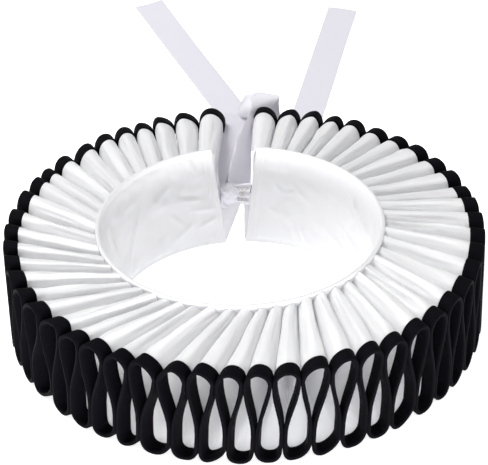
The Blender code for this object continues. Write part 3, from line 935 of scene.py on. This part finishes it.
def crumple(angle, height):
    """How far the lining stands in from the band, with its creases."""
    band = bpy.context.scene.neckband_sizes
    end_gap = min(
        (angle - neck_angle(0, height / band.height)) % 360,
        (neck_angle(1, height / band.height) - angle) % 360,
    )
    from_end = math.radians(end_gap) * band.foot_radius
    from_edge = min(height, band.height - height)
    if min(from_end, from_edge) <= 0:
        return 0
    puff = seam_puff(from_edge, (0, EDGE_SEAM)) * seam_puff(from_end, (0, EDGE_SEAM, END_SEAM))
    held = min(max(min(from_edge, from_end) - EDGE_SEAM, 0) / CRUMPLE_STARTS, 1)
    along = math.radians(angle) * band.foot_radius
    spot = Vector((along, height, 0)) * LINING_CRUMPLE_SIZE
    fine_height, fineness = FINE_CRUMPLE
    depth = LINING_CRUMPLE * (
        CRUMPLE_MEAN + noise.noise(spot) + fine_height * noise.noise(spot * fineness))
    here = Vector((along, height))
    for start_angle, start_height, end_angle, end_height, deep, half_width in LINING_CREASES:
        turn = 360 * round((angle - (start_angle + end_angle) / 2) / 360)
        start = Vector((math.radians(start_angle + turn) * band.foot_radius, start_height * MM))
        end = Vector((math.radians(end_angle + turn) * band.foot_radius, end_height * MM))
        run = end - start
        t = max(0, min(1, (here - start).dot(run) / run.length_squared))
        away = (here - start - run * t).length / (half_width * MM)
        if away < CREASE_END:
            fade = END_DEPTH + (1 - END_DEPTH) * math.sin(math.pi * t)
            depth += deep * MM * math.exp(-away * away) * fade
    return LINING_PUFF * puff + max(depth, 0) * held


def lining_point(share, level, inwards=0.0):
    """A point on the lining, with its creases."""
    band = bpy.context.scene.neckband_sizes
    height = band.height * level
    angle = neck_angle(share, level)
    radius = neck_radius(height) - crumple(angle, height) - inwards
    return ring_point(radius, angle, height, NECK_X)


def band_length():
    """Length of the neckband along its foot."""
    band = bpy.context.scene.neckband_sizes
    return math.radians(neck_angle(1, 0) - neck_angle(0, 0)) * band.foot_radius


# Stitches


def thread_template():
    """One short stitch along x, one unit long and thick."""
    deselect()
    bpy.ops.mesh.primitive_uv_sphere_add(segments=6, ring_count=5, radius=0.5)
    piece = bpy.context.object
    points = [point.co.copy() for point in piece.data.vertices]
    faces = [tuple(face.vertices) for face in piece.data.polygons]
    bpy.data.objects.remove(piece)
    return [Vector((point.z, point.x, point.y)) for point in points], faces


def sew(name, stitches, thread):
    """One mesh of all the stitches, each from its start to its end, half sunk into the cloth."""
    template, template_faces = thread_template()
    points = []
    faces = []
    for start, end, outwards in stitches:
        along = end - start
        side = outwards.cross(along).normalized()
        up = along.cross(side).normalized()
        first = len(points)
        for spot in template:
            offset = along * spot.x + (side * spot.y + up * spot.z) * thread
            points.append((start + end) / 2 + offset)
        faces += [tuple(first + corner for corner in face) for face in template_faces]
    mesh = bpy.data.meshes.new(name)
    mesh.from_pydata(points, [], faces)
    mesh.uv_layers.new(name="cloth")
    piece = bpy.data.objects.new(name, mesh)
    bpy.context.collection.objects.link(piece)
    pick(piece)
    bpy.ops.object.shade_smooth()
    return piece


# Ribbons


def smooth_rows(rows, steps):
    """Rows between the given ones, on a smooth curve through them all."""
    padded = [rows[0], *rows, rows[-1]]
    result = []
    for before, start, end, after in zip(padded, padded[1:], padded[2:], padded[3:]):
        for i in range(steps):
            t = i / steps
            row = []
            for a, b, c, d in zip(before, start, end, after):
                value = 2 * b + (c - a) * t + (2 * a - 5 * b + 4 * c - d) * t**2
                row.append((value + (3 * b - a - 3 * c + d) * t**3) / 2)
            result.append(row)
    result.append(list(rows[-1]))
    return result


def ribbon_line(row):
    """Points from edge to edge of the ribbon, over its soft crease."""
    left, crease, right = (Vector(row[i:i + 3]) * MM for i in (0, 3, 6))
    for spot in (left, crease, right):
        spot.y += RING_Y
    before, after = (left - crease).length, (right - crease).length
    total = before + after
    points = []
    for i in range(RIBBON_FACETS + 1):
        run = total * i / RIBBON_FACETS - before
        side, length = (left, before) if run < 0 else (right, after)
        point = crease.lerp(side, abs(run) / length)
        near = max(0, 1 - abs(run) / CREASE_ROUNDING)
        inwards = left.lerp(right, before / total) - crease
        point += inwards.normalized() * min(inwards.length, CREASE_ROUNDING) * CREASE_SOFTNESS * near * near
        points.append(point)
    return points


def ribbon_lines(rows, wall):
    """The ribbon's lines from edge to edge, one after another along it."""
    rows = smooth_rows(rows, RIBBON_STEPS)
    floor = wall / 2 / MM
    for row in rows:  # on the surface or above it
        for i in (2, 5, 8):
            row[i] = max(row[i], floor)
    return [ribbon_line(row) for row in rows]


def make_tie(name, rows):
    """A ribbon from the knot out over the surface."""
    wall = bpy.context.scene.ribbon_sizes.wall
    lines = ribbon_lines(rows, wall)
    middles = [line[RIBBON_FACETS // 2] for line in lines]
    runs = [0]
    for one, following in zip(middles, middles[1:]):
        runs.append(runs[-1] + (following - one).length)
    last = len(lines) - 1
    piece = cloth_rectangle(f"{name}_ribbon", RIBBON_FACETS, last)
    lay(
        piece,
        lambda u, v: lines[round(v * last)][round(u * RIBBON_FACETS)],
        lambda u, v: (u * RIBBON_WIDTH, runs[round(v * last)]),
    )
    thicken(piece, wall)
    smooth(piece, 40)
    hand_over(piece, "ribbon satin", "ribbon_satin", name)


def sewn_end_spot(u, v):
    """A point of the right tie's gathered end, at shares of the way to the knot and of its width."""
    band = bpy.context.scene.neckband_sizes
    end = NECK_ENDS["right"]
    width = ROOT_AT_BAND + (ROOT_AT_KNOT - ROOT_AT_BAND) * u
    height = KNOT_AT[2] + (v - 0.5) * width
    angle = end["foot"] + (end["top"] - end["foot"]) * height / band.height
    at_band = ring_point(neck_radius(height) + band.wall / 2, angle, height, NECK_X)
    at_band.x -= ROOT_AIR
    at_knot = Vector((KNOT_AT[0], KNOT_AT[1] + RING_Y, height))
    spot = at_band.lerp(at_knot, u)
    deepened = END_DEPTH + (1 - END_DEPTH) * u
    spot.y += ROOT_FOLD_DEPTH * math.sin(v * ROOT_FOLDS * 2 * math.pi + 1) * deepened
    return spot


# Operators


class COLLAR_OT_stage(bpy.types.Operator):
    """Adds the white floor, the soft lights and the camera"""

    bl_idname = "collar.stage"
    bl_label = "Stage"
    bl_options = {"REGISTER", "UNDO"}

    def execute(self, context):
        stage = context.scene.stage_settings
        deselect()
        bpy.ops.mesh.primitive_plane_add(size=stage.floor_size)
        floor = context.object
        floor.name = "floor"
        made, tree, shader, _chart = bare_material("white floor")
        place = tree.nodes.new("ShaderNodeTexCoord").outputs["Object"]
        grain = add_node(tree, "ShaderNodeTexNoise", Vector=place, Scale=40.0, Detail=2.0)
        tint = place_group(
            tree, "cloth tint", Colour=(0.93, 0.93, 0.93, 1), Other=(0.92, 0.92, 0.92, 1),
            Mask=grain.outputs["Fac"], Amount=0.5)
        feed(tree, shader.inputs["Base Color"], tint.outputs["Colour"])
        shader.inputs["Roughness"].default_value = 0.9
        shader.inputs["Specular IOR Level"].default_value = 0.1
        shader.inputs["Emission Color"].default_value = (1, 1, 1, 1)
        shader.inputs["Emission Strength"].default_value = stage.floor_glow
        floor.data.materials.append(made)
        for name, (place, size, flatness) in LIGHTS.items():
            self.add_light(name, place, size, flatness, getattr(stage, f"{name}_power"))
        self.add_surroundings(context, stage.surroundings)
        self.add_camera(context)
        self.set_light_paths(context)
        return {"FINISHED"}

    def add_light(self, name, place, size, flatness, power):
        """A soft light that shines at the ruff's axis."""
        bpy.ops.object.light_add(type="AREA", location=place)
        light = bpy.context.object
        light.name = f"{name} light"
        light.data.shape = "RECTANGLE"
        light.data.size = size
        light.data.size_y = size * flatness
        light.data.energy = power
        towards = Vector((0, RING_Y, LIT_HEIGHT)) - Vector(place)
        light.rotation_euler = towards.to_track_quat("-Z", "Y").to_euler()

    def add_surroundings(self, context, strength):
        world = bpy.data.worlds.new("white surroundings")
        context.scene.world = world
        world.use_nodes = True
        sky = world.node_tree.nodes["Background"]
        sky.inputs["Color"].default_value = (1, 1, 1, 1)
        sky.inputs["Strength"].default_value = strength

    def add_camera(self, context):
        bpy.ops.object.camera_add(location=CAMERA_AT)
        camera = context.object
        camera.name = "camera"
        camera.data.sensor_width = SENSOR
        camera.data.lens = FOCAL_PIXELS / PHOTO_WIDTH * SENSOR
        turn = Matrix.Rotation(math.radians(90 + CAMERA_PITCH), 4, "X")
        roll = Matrix.Rotation(math.radians(CAMERA_ROLL), 4, "Z")
        camera.rotation_euler = (turn @ roll).to_euler()
        context.scene.camera = camera
        context.scene.view_settings.view_transform = "Standard"

    def set_light_paths(self, context):
        paths = context.scene.cycles
        paths.diffuse_bounces = LIGHT_BOUNCES
        paths.transmission_bounces = LIGHT_BOUNCES
        paths.max_bounces = 2 * LIGHT_BOUNCES


class COLLAR_OT_ruff(bpy.types.Operator):
    """Folds the satin strip into its pleats"""

    bl_idname = "collar.ruff"
    bl_label = "Pleated strip"
    bl_options = {"REGISTER", "UNDO"}

    def execute(self, context):
        ruff = context.scene.ruff_sizes
        folds = ruff_folds()
        reach = ruff_reach()
        trim_start = 1 - ruff.trim_width / reach
        piece = pleated_cloth("ruff_strip", folds, STRIP_ROWS, 0, trim_start - SEAM / reach)
        thicken(piece, ruff.satin_wall)
        smooth(piece)
        hand_over(piece, "ruff satin", "ruff_satin", *(f"ruff_strip_{i + 1}" for i in range(LENGTHS)))
        return {"FINISHED"}


class COLLAR_OT_trim(bpy.types.Operator):
    """Binds the outer edge of the pleats in black"""

    bl_idname = "collar.trim"
    bl_label = "Black trim"
    bl_options = {"REGISTER", "UNDO"}

    def execute(self, context):
        ruff = context.scene.ruff_sizes
        folds = ruff_folds()
        trim_start = 1 - ruff.trim_width / ruff_reach()
        piece = pleated_cloth("trim", folds, TRIM_ROWS, trim_start, 1)
        thicken(piece, ruff.trim_wall, rounding=0.0008)
        smooth(piece)
        hand_over(piece, "black trim", "black_trim", *(f"trim_{i + 1}" for i in range(LENGTHS)))
        return {"FINISHED"}


class COLLAR_OT_neckband(bpy.types.Operator):
    """Makes the neckband with its crumpled lining"""

    bl_idname = "collar.neckband"
    bl_label = "Neckband"
    bl_options = {"REGISTER", "UNDO"}

    def execute(self, context):
        band = context.scene.neckband_sizes
        piece = cloth_rectangle("neckband_cloth", NECK_COLUMNS, NECK_ROWS)
        lay(
            piece,
            lambda u, v: ring_point(
                neck_radius(band.height * v) + band.wall, neck_angle(u, v), band.height * v, NECK_X),
            lambda u, v: (u * band_length(), v * band.height),
        )
        thicken(piece, band.wall, offset=self.inwards(piece), rounding=0.0006, segments=3)
        self.crease_lining(piece)
        smooth(piece)
        hand_over(piece, "neckband satin", "neckband_satin", "neckband")
        return {"FINISHED"}

    def inwards(self, piece):
        """The side of the flat cloth on which its thickness goes to the inside of the band."""
        face = piece.data.polygons[0]
        to_axis = Vector((NECK_X, RING_Y, face.center.z)) - face.center
        return 1.0 if face.normal.dot(to_axis) > 0 else -1.0

    def crease_lining(self, piece):
        """Moves the points of the inner face to where the creased lining lies."""
        band = bpy.context.scene.neckband_sizes
        for point in piece.data.vertices:
            spot = point.co - Vector((NECK_X, RING_Y, 0))
            radius = math.hypot(spot.x, spot.y)
            height = min(max(spot.z, 0), band.height)
            if radius > neck_radius(height) + INNER_FACE * band.wall:
                continue
            angle = math.degrees(math.atan2(spot.y, spot.x))
            if angle < neck_angle(0, height / band.height):
                angle += 360
            inner = radius - crumple(angle, height)
            point.co.x = NECK_X + spot.x / radius * inner
            point.co.y = RING_Y + spot.y / radius * inner


class COLLAR_OT_topstitching(bpy.types.Operator):
    """Sews the lining down along the neckband's edges"""

    bl_idname = "collar.topstitching"
    bl_label = "Topstitching"
    bl_options = {"REGISTER", "UNDO"}

    filled: FloatProperty(
        name="Stitch share", description="How much of the pitch a stitch covers",
        default=0.72, min=0.2, max=0.95, subtype="FACTOR")

    def execute(self, context):
        band = context.scene.neckband_sizes
        length = band_length()
        seams = []
        low, high = EDGE_SEAM / band.height, 1 - EDGE_SEAM / band.height
        for level in (low, high):
            seams.append(((EDGE_SEAM / length, level), (1 - EDGE_SEAM / length, level)))
        for inset in (EDGE_SEAM, END_SEAM):
            for share in (inset / length, 1 - inset / length):
                seams.append(((share, low), (share, high)))
        stitches = []
        for start, end in seams:
            run = math.hypot((end[0] - start[0]) * length, (end[1] - start[1]) * band.height)
            count = round(run / band.stitch_pitch)
            for i in range(count):
                stitches.append(self.stitch(start, end, i / count, (i + self.filled) / count))
        piece = sew("topstitching", stitches, band.thread)
        hand_over(piece, "thread", "neckband_satin")
        return {"FINISHED"}

    def stitch(self, start, end, first, last):
        """A stitch between two shares of the way along a seam: its ends, and the way out of the lining."""
        ends = []
        for t in (first, last):
            share = start[0] + (end[0] - start[0]) * t
            level = start[1] + (end[1] - start[1]) * t
            ends.append(lining_point(share, level))
        inwards = Vector((NECK_X, RING_Y, ends[0].z)) - ends[0]
        return (*ends, inwards.normalized())


class COLLAR_OT_knot(bpy.types.Operator):
    """Ties the knot between the ends of the neckband"""

    bl_idname = "collar.knot"
    bl_label = "Knot"
    bl_options = {"REGISTER", "UNDO"}

    voxel: FloatProperty(
        name="Fineness", description="Size of the smallest fold that the knot keeps",
        default=0.00028, min=0.0002, max=0.001, subtype="DISTANCE", unit="LENGTH")

    def execute(self, context):
        centre = Vector(KNOT_AT) + Vector((0, RING_Y, 0))
        half = Vector(KNOT_SIZE) / 2
        piece = self.wind(centre, half)
        remesh = piece.modifiers.new("one surface", "REMESH")
        remesh.mode = "VOXEL"
        remesh.voxel_size = self.voxel
        relax = piece.modifiers.new("soft", "SMOOTH")
        relax.iterations = 3
        relax.factor = 0.5
        apply_modifiers(piece)
        self.shape(piece, centre, half)
        pick(piece)
        bpy.ops.object.shade_smooth()
        self.chart(piece, centre, half)
        hand_over(piece, "ribbon satin", "ribbon_satin", "knot")
        return {"FINISHED"}

    def wind(self, centre, half):
        """The turns of ribbon round their core, as one object."""
        deselect()
        bpy.ops.mesh.primitive_uv_sphere_add(segments=24, ring_count=16, radius=1, location=centre)
        core = bpy.context.object
        core.scale = half * KNOT_CORE
        turns = [core]
        for tilt, lean, aside, rise in KNOT_TURNS:
            bpy.ops.mesh.primitive_torus_add(
                major_segments=40, minor_segments=16,
                major_radius=half.y * TURN_RADIUS, minor_radius=half.y * TURN_THICKNESS,
                location=centre + Vector((aside * half.x, 0, rise * half.z)),
                rotation=(math.radians(tilt), math.radians(lean), 0))
            turns.append(bpy.context.object)
        deselect()
        for turn in turns:
            turn.select_set(True)
        bpy.context.view_layer.objects.active = core
        bpy.ops.object.join()
        bpy.ops.object.transform_apply(location=True, rotation=True, scale=True)
        core.name = "knot_ribbon"
        core.data.name = "knot_ribbon"
        return core

    def shape(self, piece, centre, half):
        """Wrinkles the knot, and keeps it within its size."""
        large, small = KNOT_GRAINS
        for point in piece.data.vertices:
            away = point.co - centre
            grain = noise.noise(point.co * large) + 0.5 * noise.noise(point.co * small)
            point.co += away.normalized() * grain * KNOT_GRAIN
            for axis in range(3):
                low, high = centre[axis] - half[axis], centre[axis] + half[axis]
                point.co[axis] = min(max(point.co[axis], low), high)
        piece.data.update()

    def chart(self, piece, centre, half):
        """Lays the UV map round the knot at real size."""
        mesh = piece.data
        if not mesh.uv_layers:
            mesh.uv_layers.new(name="cloth")
        mesh.uv_layers[0].name = "cloth"
        charted = mesh.uv_layers["cloth"].data
        for corner in mesh.loops:
            spot = mesh.vertices[corner.vertex_index].co - centre
            charted[corner.index].uv = (math.atan2(spot.y, spot.x) * half.x, spot.z)


class COLLAR_OT_sewn_end(bpy.types.Operator):
    """Gathers the right tie's sewn end, from the neckband to the knot"""

    bl_idname = "collar.sewn_end"
    bl_label = "Sewn end"
    bl_options = {"REGISTER", "UNDO"}

    def execute(self, context):
        piece = cloth_rectangle("tie_right_sewn_end", *ROOT_STEPS)
        lay(piece, sewn_end_spot, lambda u, v: (v * ROOT_AT_BAND, u * ROOT_AT_BAND))
        thicken(piece, context.scene.ribbon_sizes.wall)
        smooth(piece)
        hand_over(piece, "ribbon satin", "ribbon_satin", "tie_right_root")
        return {"FINISHED"}


class COLLAR_OT_tacking(bpy.types.Operator):
    """Tacks the right tie's sewn end with a boxed cross of stitches"""

    bl_idname = "collar.tacking"
    bl_label = "Tacking stitches"
    bl_options = {"REGISTER", "UNDO"}

    filled: FloatProperty(
        name="Stitch share", description="How much of the pitch a stitch covers",
        default=0.85, min=0.2, max=0.95, subtype="FACTOR")

    def execute(self, context):
        lift = Vector((0, context.scene.ribbon_sizes.wall / 2 + TACKING_LIFT, 0))
        stitches = []
        for start_u, start_v, end_u, end_v in TACKING:
            for i in range(TACKING_STITCHES):
                ends = []
                for t in (i / TACKING_STITCHES, (i + self.filled) / TACKING_STITCHES):
                    spot = sewn_end_spot(start_u + (end_u - start_u) * t, start_v + (end_v - start_v) * t)
                    ends.append(spot - lift)
                stitches.append((*ends, Vector((0, -1, 0))))
        piece = sew("tacking_stitches", stitches, context.scene.neckband_sizes.thread)
        hand_over(piece, "tacking thread", "ribbon_satin")
        return {"FINISHED"}


class COLLAR_OT_ties(bpy.types.Operator):
    """Lays both ribbons from the knot out over the surface"""

    bl_idname = "collar.ties"
    bl_label = "Ties"
    bl_options = {"REGISTER", "UNDO"}

    def execute(self, context):
        for name, rows in (("tie_left", LEFT_TIE), ("tie_right", RIGHT_TIE)):
            make_tie(name, rows)
        return {"FINISHED"}


class COLLAR_PT_panel(bpy.types.Panel):
    """The collar's pieces and sizes"""

    bl_idname = "COLLAR_PT_panel"
    bl_label = "Ruff collar"
    bl_space_type = "VIEW_3D"
    bl_region_type = "UI"
    bl_category = "Ruff collar"

    def draw(self, context):
        layout = self.layout
        for operator in PIECES:
            layout.operator(operator.bl_idname)
        for settings in SETTINGS:
            box = layout.box()
            group = getattr(context.scene, settings)
            for name in group.bl_rna.properties.keys():
                if name not in ("rna_type", "name"):
                    box.prop(group, name)


PIECES = (
    COLLAR_OT_stage,
    COLLAR_OT_ruff,
    COLLAR_OT_trim,
    COLLAR_OT_neckband,
    COLLAR_OT_topstitching,
    COLLAR_OT_knot,
    COLLAR_OT_sewn_end,
    COLLAR_OT_tacking,
    COLLAR_OT_ties,
)
SETTINGS = {
    "ruff_sizes": RuffSizes,
    "neckband_sizes": NeckbandSizes,
    "ribbon_sizes": RibbonSizes,
    "collar_colours": CollarColours,
    "stage_settings": StageSettings,
}


def register():
    for group in SETTINGS.values():
        bpy.utils.register_class(group)
    for name, group in SETTINGS.items():
        setattr(bpy.types.Scene, name, PointerProperty(type=group))
    for operator in PIECES:
        bpy.utils.register_class(operator)
    bpy.utils.register_class(COLLAR_PT_panel)


def unregister():
    bpy.utils.unregister_class(COLLAR_PT_panel)
    for operator in reversed(PIECES):
        bpy.utils.unregister_class(operator)
    for name, group in SETTINGS.items():
        delattr(bpy.types.Scene, name)
        bpy.utils.unregister_class(group)


def main():
    register()
    for operator in PIECES:
        group, name = operator.bl_idname.split(".")
        getattr(getattr(bpy.ops, group), name)()


if __name__ == "__main__":
    main()
